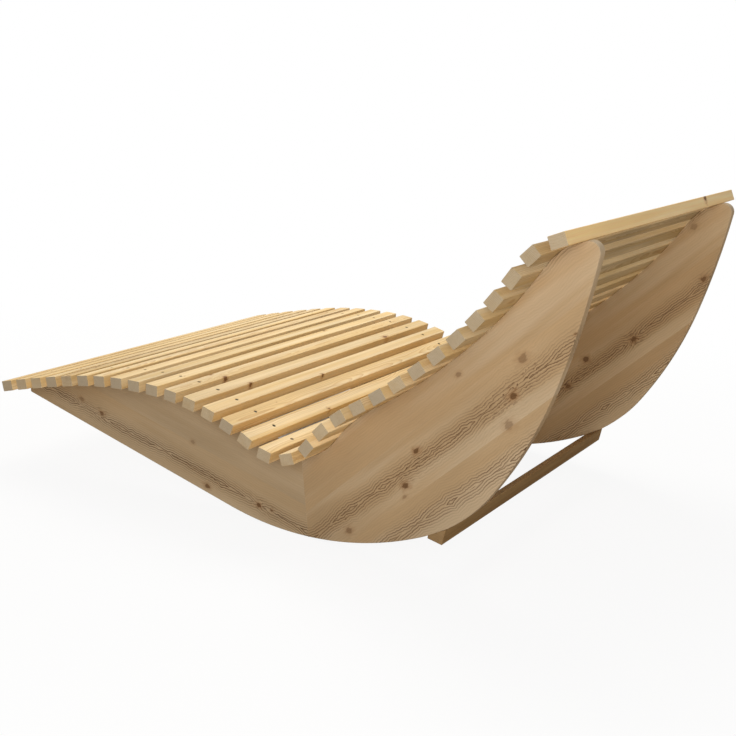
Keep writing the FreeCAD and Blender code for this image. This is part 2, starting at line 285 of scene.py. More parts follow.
def wood(name, tints, figure, staves=None, knots=()):
    """A softwood: rings, fibres, bands and knots on its colour, its roughness and its bump.

    The tints are early wood, its warmer bands, late wood and knots. Without staves the pith's
    place comes from the piece, and so do its knots.
    """
    material = bpy.data.materials.new(name)
    material.use_nodes = True
    tree = material.node_tree
    shader = tree.nodes["Principled BSDF"]
    start = Field(tree)
    u, v, w = parts_of(carried(start, "grain", 1))
    tone = carried(start, "tone", 2)
    end = carried(start, "end", 2)
    hole = carried(start, "hole", 2)
    if staves:
        pith = [by_stave(v, staves, part) for part in (1, 2, 3)]
        tone = tone + by_stave(v, staves, 4)
        knots = [((knot[0], knot[1], knot[2]), knot[3]) for knot in knots]
        knot_depth = w
    else:
        pith = parts_of(carried(start, "shift", 1))
        knots = [(parts_of(carried(start, key, 1)), 1.0) for key in ("knot_a", "knot_b")]
        knot_depth = w - batten_knot_depth

    blotch = noise(u, v, w + pith[2], (60.0, 160.0, 160.0))
    bulge = 0.0 * u
    core = 0.0 * u
    halo = 0.0 * u
    for knot, depth in knots:
        near = knot_reach(u, v, knot_depth, knot, blotch)
        bulge = bulge + knot[2] * (knot_bulge / (1.0 + near * near * bulge_fade))
        core = core + (1 - near.step(*knot_rim)) * depth
        halo = halo + (1 - near.step(*halo_rim)) * depth
    late_wood, across = ring_lines(u, v, w, pith, figure, bulge)
    spread = (across * across) / figure["reach"] ** 2
    seen = faintest_rings + (1 - faintest_rings) / (1.0 + spread * spread)
    fibres = noise(u, v, w + pith[2], (26.0, 1500.0, 1500.0))
    streaks = noise(u, v, w + pith[2], (6.0, 230.0, 230.0))
    bands = noise(u, v, w + pith[2], (1.1, figure["bands"], figure["bands"]), detail=3.0)
    clouds = noise(u, v, w + pith[2], (3.0, 9.0, 9.0), detail=1.0)

    colour = bands.step(*band_rim).mix(linear(*tints[0]), linear(*tints[1]))
    ring_mask = late_wood * seen * figure["rings"]
    colour = ring_mask.mix(colour, linear(*tints[2]))
    light = 1.0 + (fibres - 0.5) * fibre_light + tone
    light = light + (streaks - 0.5) * figure["streaks"] + (clouds - 0.5) * figure["clouds"]
    colour = start.add("ShaderNodeVectorMath", {"operation": "SCALE"}, {0: colour, "Scale": light})
    colour = (halo * halo_strength).mix(colour, linear(*tints[3]))
    knot_core = [share * part for share, part in zip(core_shares, tints[3])]
    colour = (core * core_strength).mix(colour, linear(*knot_core))
    saw = noise(u, v, w, (1.0, 700.0, 700.0), detail=3.0)
    rawness = own_number(pith[2]) * (1 - least_raw) + least_raw
    colour = (end * rawness).mix(colour, (late_wood * 0.8 + saw * 0.3).mix(*raw_end))
    # Screw holes darken: partly stain round the screws, partly painted shade in the recess.
    colour = hole.mix(colour, hole_stain_and_shade_tint)
    tree.links.new(colour.socket, shader.inputs["Base Color"])

    rough = planed_roughness + fibres * 0.16 - ring_mask * 0.15 + end * 0.15
    tree.links.new(rough.socket, shader.inputs["Roughness"])
    height = ring_mask * 0.6 + fibres * 0.3 + streaks * 0.2 + saw * end * 0.8
    bump = start.add("ShaderNodeBump", {}, {"Strength": 0.3, "Distance": 0.0006, "Height": height})
    tree.links.new(bump.socket, shader.inputs["Normal"])
    shader.inputs["Specular IOR Level"].default_value = 0.3
    return material


slat_tints = ((239, 214, 168), (230, 198, 141), (190, 140, 80), (164, 106, 54))
slat_figure = {**plain_figure, "rings": 0.85, "streaks": 0.30, "clouds": 0.28}
slat_wood = wood("slat_wood", slat_tints, slat_figure)
print("the battens' wood takes", len(slat_wood.node_tree.nodes), "nodes")

# %% [markdown]
# ## One batten
#
# A batten could be a cube with a Bevel modifier. Here it is one closed grid: a rounded
# rectangle carried along Y. The grid has spare lines round each screw, so that the same
# surface can dip into a countersunk hole, and the ends are pulled in a little, so that
# their edges are rounded too.

# %% Rounded section
round_steps = 4


def box_corners(width, height):
    """The corners of a rectangle about the origin, from the upper one on the +x side."""
    x, z = width / 2, height / 2
    return np.array([[x, z], [-x, z], [-x, -z], [x, -z]])


def rounded_section(corners, radius, top_lines):
    """A rounded outline as points (x, z) and outward normals, with given lines on its top.

    The corners run anticlockwise, and the first two hold the level top. With m and n the
    outward normals of the two sides at a corner p, the circle that rounds it has its centre
    at p - r (m + n) / (1 + m.n), and its points run from the angle of m to that of n.
    """
    ahead = np.roll(corners, -1, axis=0) - corners
    after = np.column_stack([ahead[:, 1], -ahead[:, 0]]) / np.hypot(*ahead.T)[:, None]
    before = np.roll(after, 1, axis=0)
    centres = corners - radius * (before + after) / (1 + (before * after).sum(axis=1))[:, None]
    first = np.arctan2(before[:, 1], before[:, 0])
    turn = np.arccos(np.clip((before * after).sum(axis=1), -1, 1))
    points = []
    normals = []
    for corner, centre in enumerate(centres):
        angles = first[corner] + turn[corner] * np.linspace(0, 1, round_steps + 1)
        spokes = np.column_stack([np.cos(angles), np.sin(angles)])
        points.append(centre + radius * spokes)
        normals.append(spokes)
        if corner == 0:
            lines = np.sort(top_lines)[::-1]
            points.append(np.column_stack([lines, np.full(len(lines), corners[0, 1])]))
            normals.append(np.tile([0.0, 1.0], (len(lines), 1)))
    return np.vstack(points), np.vstack(normals)


slat_width = 0.040
slat_height = 0.030
slat_length = 1.2
slat_round = 0.0018
slat_corners = box_corners(slat_width, slat_height)
section, normals = rounded_section(slat_corners, slat_round, [])
print("a batten's section has", len(section), "points without those for its screws")

# %% Screw holes in a grid
slat_patch = 0.009
square_from = 0.6
ring_shares = np.array([0.0, 0.17, 0.33, 0.48, 0.53, 0.59, 0.78, 1.0])
hole_depths = np.array([0.0030, 0.0030, 0.0030, 0.0029, 0.0004, 0.0, 0.0, 0.0])


def grid_lines(patch_reach):
    """The grid lines of a square patch round a screw, as distances from its middle."""
    levels = ring_shares * patch_reach
    return np.concatenate([-levels[:0:-1], levels])


def dip(x, y, centre, patch_reach):
    """Turn the square patch of grid lines round a screw into rings, and sink the inner ones.

    A point keeps its ring, the larger of |x| and |y|. Inside it moves onto a circle of that
    radius, and towards the patch's edge back onto the square. The depth follows the ring.
    """
    across, along = x - centre[0], y - centre[1]
    ring = np.maximum(np.abs(across), np.abs(along))
    inside = ring <= patch_reach + 1e-9
    angle = np.arctan2(along, across)
    stay = np.clip((ring / patch_reach - square_from) / (1 - square_from), 0, 1) ** 2
    new_across = stay * across + (1 - stay) * ring * np.cos(angle)
    new_along = stay * along + (1 - stay) * ring * np.sin(angle)
    depth = np.interp(ring, ring_shares * patch_reach, hole_depths)
    x = np.where(inside, centre[0] + new_across, x)
    y = np.where(inside, centre[1] + new_along, y)
    return x, y, np.where(inside, depth, 0.0)


print("a hole's patch has", len(grid_lines(slat_patch)), "grid lines each way")

# %% Faces of a grid
def grid_faces(rows, columns):
    """The faces between rows of points that each close on themselves, and one at each end."""
    corner = np.arange(rows * columns).reshape(rows, columns)
    after = np.roll(corner, -1, axis=1)
    quads = np.stack([corner[:-1], after[:-1], after[1:], corner[1:]], axis=-1).reshape(-1, 4)
    return quads.tolist() + [corner[0].tolist(), corner[-1][::-1].tolist()]


print("a grid of 2 rows of 4 points is a box of", len(grid_faces(2, 4)), "faces")

# %% Beam
end_inset = np.array([0.0010, 0.0004, 0.0])
end_steps = np.array([0.0, 0.0004, 0.0012])
plain_spans = 8
# From this depth down a hole's wood takes its full dark tint: stain round the screw and painted shade
# in the recess.
dark_hole_depth = 0.002


def beam_surface(corners, length, radius, holes, patch_reach=slat_patch):
    """A beam along Y about the origin, as points, faces and what its points carry.

    Row j of the grid is the section at one place along Y, moved inward by that row's inset.
    Column i is one point of the section. The two ends are closed by one face each.
    """
    lines = grid_lines(patch_reach)
    top_lines = np.unique(np.round(np.concatenate([place[0] + lines for place in holes]), 7))
    section, normals = rounded_section(corners, radius, top_lines)
    half = length / 2
    stations = [-half + end_steps, half - end_steps, np.linspace(-half, half, plain_spans + 1)]
    stations += [place[1] + lines for place in holes]
    stations = np.unique(np.round(np.concatenate(stations), 7))
    inset = np.interp(half - np.abs(stations), end_steps, end_inset)
    x = section[None, :, 0] - normals[None, :, 0] * inset[:, None]
    z = section[None, :, 1] - normals[None, :, 1] * inset[:, None]
    y = np.broadcast_to(stations[:, None], x.shape).copy()
    on_top = (normals[None, :, 1] > 0.99) & (np.abs(x) < corners[0, 0] - radius + 1e-6)
    hole = np.zeros_like(x)
    for place in holes:
        new_x, new_y, depth = dip(x, y, place, patch_reach)
        x = np.where(on_top, new_x, x)
        y = np.where(on_top, new_y, y)
        z = z - np.where(on_top, depth, 0.0)
        hole = np.maximum(hole, np.where(on_top, np.clip(depth / dark_hole_depth, 0, 1), 0.0))
    points = np.stack([x, y, z], axis=-1).reshape(-1, 3)
    end = np.clip(1 - (half - np.abs(points[:, 1])) / end_steps[-1], 0, 1)
    return points, grid_faces(*x.shape), {"hole": hole.reshape(-1), "end": end}


board_middle_y = sum(corner[1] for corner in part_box("left_back_board")) / 2
slat_holes = [(0.0, board_middle_y), (0.0, -board_middle_y)]
points, faces, carries = beam_surface(slat_corners, slat_length, slat_round, slat_holes)
print("a batten's grid has", len(points), "points and", len(faces), "faces")

# %% [markdown]
# ## From arrays to a piece
#
# Every piece goes the same way from its arrays into Blender. Its place is written into its
# mesh, so that its object can stay at the origin. Edges that turn by more than a set angle
# stay sharp, and a Weighted Normal modifier keeps large faces flat beside small rounded ones.

# %% Piece
sharp_angle = math.radians(38)


def make_piece(name, points, faces, material, carries, body="root"):
    """A closed mesh object from points, faces and the values that its points carry."""
    mesh = bpy.data.meshes.new(name)
    mesh.from_pydata(points.tolist(), [], faces)
    for key, values in carries.items():
        values = np.asarray(values, dtype=np.float32)
        kind = "FLOAT_VECTOR" if values.ndim == 2 else "FLOAT"
        attribute = mesh.attributes.new(key, kind, "POINT")
        attribute.data.foreach_set("vector" if values.ndim == 2 else "value", values.ravel())
    shell = bmesh.new()
    shell.from_mesh(mesh)
    bmesh.ops.recalc_face_normals(shell, faces=shell.faces)
    shell.to_mesh(mesh)
    shell.free()
    mesh.shade_smooth()
    mesh.set_sharp_from_angle(angle=sharp_angle)
    mesh.materials.append(material)
    piece = bpy.data.objects.new(name, mesh)
    bpy.context.scene.collection.objects.link(piece)
    flatten = piece.modifiers.new("flat_faces", "WEIGHTED_NORMAL")
    flatten.keep_sharp = True
    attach(piece, body)
    return piece


print("edges that turn by", round(math.degrees(sharp_angle)), "degrees or more stay sharp")

# %% [markdown]
# ## The seat
#
# The places of the battens are read from the construction. The corners at a batten's end lie
# round the middle of its section, and the section is wider than it is high, so its longest
# side tells how the batten is turned. What no photograph shows is drawn by chance: the part
# of the tree that a batten comes from, its knots and, for most of them, how light it is.

# %% Places of the battens
def corners_of(node):
    """The points of a construction node as an array."""
    flat = np.empty(3 * len(nodes[node].data.vertices), np.float32)
    nodes[node].data.vertices.foreach_get("co", flat)
    return flat.reshape(-1, 3).astype(float)


def section_sides(node):
    """The outline of a beam's end: its middle (x, z), and the start and the way of every side."""
    corners = corners_of(node)
    ends = corners[corners[:, 1] > corners[:, 1].max() - 1e-5][:, [0, 2]]
    ends = np.unique(np.round(ends, 6), axis=0)
    middle = (ends.min(axis=0) + ends.max(axis=0)) / 2
    around = ends[np.argsort(np.arctan2(*(ends - middle).T[::-1]))]
    return middle, around, np.roll(around, -1, axis=0) - around


def section_place(node):
    """The middle (x, z) of a batten's section and the angle of its width, its longest side."""
    middle, _, sides = section_sides(node)
    width = sides[np.argmax(np.hypot(*sides.T))]
    width = width * np.sign(width[0])
    return middle, math.atan2(width[1], width[0])


def turned_into_place(points, middle, angle):
    """Turn points about Y by an angle and move them to the middle of a section."""
    x = points[:, 0] * math.cos(angle) - points[:, 2] * math.sin(angle) + middle[0]
    z = points[:, 0] * math.sin(angle) + points[:, 2] * math.cos(angle) + middle[1]
    return np.column_stack([x, points[:, 1], z])


slat_names = sorted(name for name in nodes if name.startswith("slat_") and name[5:].isdigit())
print("the first batten lies at", np.round(section_place(slat_names[0])[0], 3).tolist())

# %% Battens
chance = np.random.default_rng(31)

# How much lighter or darker a batten is than the rest, and its knots in the photograph: how
# far along it and across it they lie, and their radius. The other battens draw theirs.
batten_tones = {
    5: -0.06, 9: -0.05, 11: -0.02, 12: -0.08, 13: 0.0, 14: 0.0, 15: 0.04, 17: 0.04, 20: -0.08,
    22: -0.06, 24: -0.06, 25: -0.08, 26: -0.22, 27: -0.20, 28: -0.26, 29: -0.24, 30: -0.26,
    31: 0.28}
batten_knots = {
    5: [(-0.592, 0.004, 0.005)], 10: [(-0.48, 0.008, 0.0022), (0.21, -0.015, 0.004)],
    11: [(-0.42, -0.019, 0.005), (-0.40, 0.019, 0.006)],
    12: [(-0.372, 0.020, 0.005), (0.33, 0.013, 0.007)],
    13: [(-0.12, 0.019, 0.004)], 31: [(0.34, 0.020, 0.006)],
}
knot_sizes = [0.0002, 0.0012, 0.0024, 0.0036]
knot_chances = [0.55, 0.2, 0.15, 0.1]
knot_range_along = (-0.55, 0.55)
knot_range_across = (-0.02, 0.02)
tone_range = (-0.03, 0.05)
pith_range = (0.005, 0.07)
stretch_of_tree = 3.0
tree_number = 1.7
for number, name in enumerate(slat_names, 1):
    middle, angle = section_place(name)
    points, faces, carries = beam_surface(slat_corners, slat_length, slat_round, slat_holes)
    count = len(points)
    turn = chance.uniform(0, 2 * math.pi)
    far = chance.uniform(*pith_range)
    u_start = stretch_of_tree * number
    carries["grain"] = np.column_stack([points[:, 1] + u_start, points[:, 0], points[:, 2]])
    pith = [far * math.cos(turn), far * math.sin(turn), tree_number * number]
    carries["shift"] = np.tile(pith, (count, 1))
    carries["tone"] = np.full(count, batten_tones.get(number, chance.uniform(*tone_range)))
    sizes = chance.choice(knot_sizes, 2, p=knot_chances)
    stray = [
        (chance.uniform(*knot_range_along), chance.uniform(*knot_range_across), size)
        for size in sizes]
    for key, knot in zip(("knot_a", "knot_b"), batten_knots.get(number, []) + stray):
        carries[key] = np.tile([knot[0] + u_start, knot[1], knot[2]], (count, 1))
    placed = turned_into_place(points, middle, angle)
    piece = make_piece(name + "_wood", placed, faces, slat_wood, carries)
    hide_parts(name)
print(len(slat_names), "battens, the last turned by", round(math.degrees(angle), 1), "degrees")

# %% [markdown]
# ## The side panels
#
# Each side is a leg board and a back board, cut from glued softwood panels. An outline of
# hundreds of points can't be typed in, and it needn't be: the construction is sliced just
# below its outer face, and the loop of the cut is the outline. The slice comes as straight
# facets, so it is bent smooth again between its true corners before the rims are rounded.

# %% Slice
same_place = 1e-6
left_face = -0.5
board_slice_depth = 0.0025


def cut_loop(node, y):
    """The closed line where the plane at y cuts a construction node, in order, as points (x, z)."""
    shell = bmesh.new()
    shell.from_mesh(nodes[node].data)
    bmesh.ops.remove_doubles(shell, verts=shell.verts, dist=same_place)
    everything = shell.verts[:] + shell.edges[:] + shell.faces[:]
    cut = bmesh.ops.bisect_plane(shell, geom=everything, plane_co=(0, y, 0), plane_no=(0, 1, 0))
    beside = {}
    for edge in (part for part in cut["geom_cut"] if isinstance(part, bmesh.types.BMEdge)):
        for vertex in edge.verts:
            beside.setdefault(vertex, []).append(edge.other_vert(vertex))
    first = min(beside, key=lambda vertex: (vertex.co.x, vertex.co.z))
    walk = [first, max(beside[first], key=lambda vertex: vertex.co.z)]
    while len(walk) < len(beside):
        walk.append(next(vertex for vertex in beside[walk[-1]] if vertex is not walk[-2]))
    loop = np.array([(vertex.co.x, vertex.co.z) for vertex in walk])
    shell.free()
    chord = np.roll(loop, -1, axis=0) - np.roll(loop, 1, axis=0)
    step = loop - np.roll(loop, 1, axis=0)
    off_chord = np.abs(chord[:, 0] * step[:, 1] - chord[:, 1] * step[:, 0]) / np.hypot(*chord.T)
    return loop[off_chord > same_place]


back_loop = cut_loop("left_back_board", left_face + board_slice_depth)
print("the back board's slice has", len(back_loop), "points")

# %% Smooth outline
corner_turn = math.radians(50)
outline_step = 0.006
long_neighbour = 3


def bent_smooth(loop):
    """The outline as short steps, and for each step whether it lies on a straight joint.

    Between two corners the points are joined by cubic curves. With h the share of a step, its
    ends a and b and their slopes s and t are blended as
    a (1+2h)(1-h)^2 + b h^2 (3-2h) + s h (1-h)^2 - t h^2 (1-h).
    """
    ahead = np.roll(loop, -1, axis=0) - loop
    length = np.hypot(*ahead.T)
    way = ahead / length[:, None]
    before, length_before = np.roll(way, 1, axis=0), np.roll(length, 1)
    turn = np.arccos(np.clip((before * way).sum(axis=1), -1, 1))
    corner = turn > corner_turn
    weight = length_before / (length + length_before)
    weight = np.where(length > long_neighbour * length_before, 1.0, weight)
    weight = np.where(length_before > long_neighbour * length, 0.0, weight)
    slope = weight[:, None] * way + (1 - weight[:, None]) * before
    slope /= np.hypot(*slope.T)[:, None]
    points = []
    joint = []
    for i in range(len(loop)):
        j = (i + 1) % len(loop)
        leaving = way[i] if corner[i] else slope[i]
        arriving = way[i] if corner[j] else slope[j]
        count = max(1, math.ceil(length[i] / outline_step))
        h = (np.arange(count) / count)[:, None]
        blend = loop[i] * (1 + 2 * h) * (1 - h) ** 2 + loop[j] * h ** 2 * (3 - 2 * h)
        blend = blend + length[i] * (leaving * h * (1 - h) ** 2 - arriving * h ** 2 * (1 - h))
        points.append(blend)
        joint += [bool(corner[i] and corner[j])] * count
    return np.vstack(points), np.array(joint)


outline, joint = bent_smooth(back_loop)
print("bent smooth it has", len(outline), "points,", int(joint.sum()), "of them on joints")

# %% Rounded panel
in_line_turn = 0.3


def moved_inward(outline, inset):
    """The outline with every step moved inward by its own inset; returns one point per step.

    A point p between two steps with inward normals m and n obeys m.p = a and n.p = b for the
    two insets a and b. Where the steps are in line, both are replaced by their mean.
    """
    ahead = np.roll(outline, -1, axis=0) - outline
    way = ahead / np.hypot(*ahead.T)[:, None]
    (x, z), (next_x, next_z) = outline.T, np.roll(outline, -1, axis=0).T
    area = (x * next_z - next_x * z).sum()
    normal = np.column_stack([-way[:, 1], way[:, 0]]) * np.sign(area)
    m, n = np.roll(normal, 1, axis=0), normal
    a, b = np.roll(inset, 1), inset
    turn = m[:, 0] * n[:, 1] - m[:, 1] * n[:, 0]
    mean = (m + n) / (1 + (m * n).sum(axis=1))[:, None] * ((a + b) / 2)[:, None]
    safe = np.where(np.abs(turn) < in_line_turn, 1.0, turn)
    solved = np.column_stack([a * n[:, 1] - b * m[:, 1], b * m[:, 0] - a * n[:, 0]]) / safe[:, None]
    return outline + np.where(np.abs(turn)[:, None] < in_line_turn, mean, solved), normal


def panel_surface(node, rim_radius, joint_radius, slice_depth):
    """A panel with rounded rims in a construction node's place: points, faces, rim flags, normals.

    Ring k of the rounding stands at an angle from 0 on the flat face to 90 degrees on the rim.
    Its inset is r (1 - sin), its depth below the face r (1 - cos).
    """
    low, high = (corner[1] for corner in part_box(node))
    outer, inner = (low, high) if low < 0 else (high, low)
    side = math.copysign(1.0, inner - outer)
    outline, joint = bent_smooth(cut_loop(node, outer + side * slice_depth))
    radius = np.where(joint, joint_radius, rim_radius)
    depth_radius = np.minimum(radius, np.roll(radius, 1))
    rings = []
    angles = np.linspace(0, math.pi / 2, round_steps + 1)
    for angle in angles:
        ring, normal = moved_inward(outline, radius * (1 - math.sin(angle)))
        depth = depth_radius * (1 - math.cos(angle))
        rings.append((ring, depth))
    stack = [(ring, outer + side * depth) for ring, depth in rings]
    stack += [(ring, inner - side * depth) for ring, depth in rings[::-1]]
    points = np.vstack([np.column_stack([ring[:, 0], y, ring[:, 1]]) for ring, y in stack])
    rows, columns = len(stack), len(outline)
    on_rim = np.ones(rows)
    on_rim[[0, -1]] = 0.0
    faces = grid_faces(rows, columns)
    return points, faces, np.repeat(on_rim, columns), np.tile(normal, (rows, 1))


print("a rim is rounded in steps of", 90 / round_steps, "degrees")

# %% Grain of the boards
leg_grain = math.radians(-12.4)
back_grain = math.radians(43.6)
right_face = 0.473


def grain_place(points, angle, face_y):
    """How far points lie along the grain (u), across it (v) and through the board (w)."""
    u = points[:, 0] * math.cos(angle) + points[:, 2] * math.sin(angle)
    v = points[:, 2] * math.cos(angle) - points[:, 0] * math.sin(angle)
    return np.column_stack([u, v, points[:, 1] - face_y])


leg_tints = ((194, 172, 140), (184, 159, 124), (84, 54, 30), (158, 116, 76))
back_tints = ((208, 185, 152), (196, 167, 128), (92, 58, 32), (156, 112, 70))
far_tints = ((212, 187, 150), (197, 166, 125), (88, 56, 32), (156, 112, 70))

# The staves that a board is glued from, in the order of v: where a stave starts, the v and w
# of its pith, the number of its tree and how much lighter it is.
leg_staves = [
    (-1.0, -0.076, -0.020, 3.1, 0.03), (-0.013, 0.051, 0.004, 4.4, 0.0),
    (0.116, 0.300, -0.030, 5.9, -0.12), (0.244, 0.309, 0.020, 7.7, 0.02)]
back_staves = [
    (-1.0, -0.361, -0.01, 8.1, -0.02), (-0.301, -0.242, -0.004, 9.6, 0.01),
    (-0.182, -0.122, 0.003, 2.7, 0.0), (-0.056, 0.075, -0.012, 6.3, 0.03),
    (0.079, 0.139, -0.03, 1.9, -0.01)]

# How much lighter a board is, and how much more so it gets along the grain towards its end.
# That second share is painted light: the back board is lighter towards its upper end, where more light
# falls.
board_tones = {
    "left_leg_board": (0.10, 0.0), "left_back_board": (-0.07, 0.05),
    "right_leg_board": (0.02, 0.0), "right_back_board": (-0.02, 0.0),
}

# Each board's grain, outer face, tints, staves and knots, as in the photograph: (x, z) in
# metres, the radius and how clearly the knot shows.
board_looks = {
    "left_leg_board": (leg_grain, left_face, leg_tints, leg_staves, [
        (-0.648, 0.209, 0.007, 0.5), (-0.568, 0.182, 0.007, 0.8), (-0.176, 0.058, 0.007, 0.9),
        (0.000, 0.048, 0.006, 1.0), (0.043, 0.044, 0.004, 0.8), (-0.228, 0.172, 0.006, 0.4)]),
    "left_back_board": (back_grain, left_face, back_tints, back_staves, [
        (0.462, 0.303, 0.007, 1.0), (0.439, 0.210, 0.008, 1.0), (0.438, 0.182, 0.005, 0.4),
        (0.284, 0.053, 0.008, 0.6), (0.714, 0.575, 0.010, 0.55), (0.699, 0.486, 0.008, 1.0),
        (0.694, 0.417, 0.010, 0.5), (0.560, 0.509, 0.006, 0.5), (0.830, 0.649, 0.003, 0.7)]),
    "right_leg_board": (leg_grain, right_face, far_tints, leg_staves, [
        (-0.522, 0.193, 0.007, 0.9), (-0.211, 0.117, 0.008, 0.8), (0.029, 0.109, 0.006, 0.9)]),
    "right_back_board": (back_grain, right_face, far_tints, back_staves, [
        (0.630, 0.426, 0.008, 0.9), (0.488, 0.339, 0.009, 0.9), (0.440, 0.244, 0.007, 0.8),
        (0.813, 0.632, 0.007, 0.8), (0.768, 0.775, 0.009, 0.4)]),
}
print("the boards show", sum(len(look[-1]) for look in board_looks.values()), "knots")

# %% Boards
board_figure = {
    "spacing": 0.0064, "sway": 0.04, "dive": 0.09, "dips": 4.5, "jag": 0.0090, "pointed": True,
    "rings": 1.65, "reach": 0.021, "bands": 14.0, "streaks": 0.16, "clouds": 0.30,
}
board_rim = 0.002
seam_edge = 0.0004
painted_light_from = 0.5
painted_light_length = 0.4
rim_rawness = 0.6


def knots_along(places, angle):
    """Knots at (x, z) in metres, with their radius and strength, turned into the grain's (u, v)."""
    turned = []
    for x, z, radius, strength in places:
        u = x * math.cos(angle) + z * math.sin(angle)
        turned.append((u, z * math.cos(angle) - x * math.sin(angle), radius, strength))
    return turned


for node, (angle, face_y, tints, staves, places) in board_looks.items():
    knots = knots_along(places, angle)
    material = wood(node + "_wood", tints, board_figure, staves, knots)
    points, faces, on_rim, normal = panel_surface(node, board_rim, seam_edge, board_slice_depth)
    along_grain = np.abs(normal[:, 0] * math.cos(angle) + normal[:, 1] * math.sin(angle))
    grain = grain_place(points, angle, face_y)
    # The board's tone, with painted light that grows along the grain towards its end.
    tone, painted_light_rise = board_tones[node]
    carries = {
        "grain": grain,
        "tone": tone + painted_light_rise * np.clip((grain[:, 0] - painted_light_from) / painted_light_length, 0, 1),
        "end": on_rim * along_grain ** 2 * rim_rawness,
        "hole": np.zeros(len(points)),
    }
    piece = make_piece(node + "_panel", points, faces, material, carries)
    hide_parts(node)
    print(node, len(points), "points")

# %% [markdown]
# ## Crossbar and tongues
#
# The crossbar is a wedge: ripped from a square batten, it has a level underside, an upright
# rear face and a sloping top that follows the edge of the boards. A square bar would be
# simpler, but it would need a notch in both boards. The wedge is one more beam with other
# corners, turned over so that its screw holes look down. The seams of the boards are held by
# loose tongues, which stay hidden. A tongue is a small panel, made as the boards are.

# %% Crossbar
bar_length = 1.0
bar_width = 0.0410
bar_rear_height = 0.0426
bar_front_height = 0.0077
bar_round = 0.0022
bar_patch = 0.0085
bar_hole_x = 0.011
bar_holes = [(x, side * board_middle_y) for x in (-bar_hole_x, bar_hole_x) for side in (1, -1)]
bar_pith = [0.012, -0.03, 41.0]
bar_knot_a = [-0.32, -0.006, 0.006]
bar_knot_b = [0.18, 0.010, 0.004]
bar_tone = -0.26
bar_rawness = 0.15
bar_tints = ((186, 150, 100), (170, 132, 82), (116, 80, 44), (108, 76, 46))
bar_figure = {**plain_figure, "spacing": 0.0035, "rings": 0.7}


def underside_place(node):
    """The middle (x, z) of a wedge's underside and its angle: the longest low and level side."""
    middle, starts, sides = section_sides(node)
    low = starts[:, 1] + sides[:, 1] / 2 < middle[1]
    side = np.argmax(np.abs(sides[:, 0]) * low)
    way = sides[side] * np.sign(sides[side, 0])
    return starts[side] + sides[side] / 2, math.atan2(way[1], way[0])


bar_middle, bar_angle = underside_place("crossbar")
bar_corners = np.array([
    [bar_width / 2, 0.0], [-bar_width / 2, 0.0],
    [-bar_width / 2, -bar_rear_height], [bar_width / 2, -bar_front_height]])
points, faces, carries = beam_surface(bar_corners, bar_length, bar_round, bar_holes, bar_patch)
bar_wood = wood("bar_wood", bar_tints, bar_figure)
count = len(points)
carries["grain"] = np.column_stack([points[:, 1], points[:, 0], points[:, 2]])
carries["shift"] = np.tile(bar_pith, (count, 1))
carries["tone"] = np.full(count, bar_tone)
carries["end"] = bar_rawness * carries["end"]
carries["knot_a"] = np.tile(bar_knot_a, (count, 1))
carries["knot_b"] = np.tile(bar_knot_b, (count, 1))
placed = turned_into_place(points, bar_middle, bar_angle + math.pi)
piece = make_piece("crossbar_wood", placed, faces, bar_wood, carries)
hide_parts("crossbar")
print("the crossbar is turned by", round(math.degrees(bar_angle), 1), "degrees")

# %% Tongues
tongue_edge = 0.0005
tongue_slice_depth = 0.0045
tongue_grain = math.pi / 2
tongue_pith = [0.2, 0.0, 3.0]
knot_elsewhere = [9.0, 9.0, 0.001]
tongue_wood = wood("tongue_wood", back_tints, plain_figure)
for node in ("left_seam_tongue", "right_seam_tongue"):
    points, faces, _, _ = panel_surface(node, tongue_edge, tongue_edge, tongue_slice_depth)
    count = len(points)
    carries = {"grain": grain_place(points, tongue_grain, 0.0)}
    carries["shift"] = np.tile(tongue_pith, (count, 1))
    carries["knot_a"] = carries["knot_b"] = np.tile(knot_elsewhere, (count, 1))
    carries["tone"] = carries["end"] = carries["hole"] = np.zeros(count)
    piece = make_piece(node + "_wood", points, faces, tongue_wood, carries)
    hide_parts(node)
    print(node, len(points), "points")

# %% [markdown]
# ## Screws
#
# A screw is turned on a lathe, so a profile carried round a circle makes its head, its
# shank and its tip. The drive in the head isn't round. It is a star of six lobes, and a
# wave added to the radius of its two rings makes it.

# %% Screw surface
screw_columns = 24
drive_share = 0.42
drive_lobes = 6
drive_wave = 0.16


def screw_surface(radius, head_radius, head_depth, length):
    """A countersunk screw along -Z, its head's face on Z = 0: points and faces.

    A ring of radius r has its points at r (cos a, sin a). The two rings of the drive are
    waved: with k lobes and a wave q, r becomes r (1 + q cos(k a)).
    """
    drive = drive_share * head_radius
    profile = [
        (0.85 * drive, -0.5 * head_depth, 1), (drive, 0.0, 1), (0.94 * head_radius, 0.0, 0),
        (head_radius, -0.05 * head_depth, 0), (radius, -head_depth, 0), (radius, -0.86 * length, 0),
        (0.12 * radius, -length, 0)]
    angle = np.arange(screw_columns) * 2 * math.pi / screw_columns
    rings = []
    for r, z, waved in profile:
        spread = r * (1 + drive_wave * waved * np.cos(drive_lobes * angle))
        ring = [spread * np.cos(angle), spread * np.sin(angle), np.full(screw_columns, z)]
        rings.append(np.column_stack(ring))
    return np.vstack(rings), grid_faces(len(profile), screw_columns)


# The sizes of a screw: the radius of its shank and of its head, its head's depth, its length.
slat_screw = (0.00225, 0.0045, 0.003, 0.070)
bar_screw = (0.003, 0.006, 0.004, 0.090)
print("a batten's screw has", len(screw_surface(*slat_screw)[0]), "points")

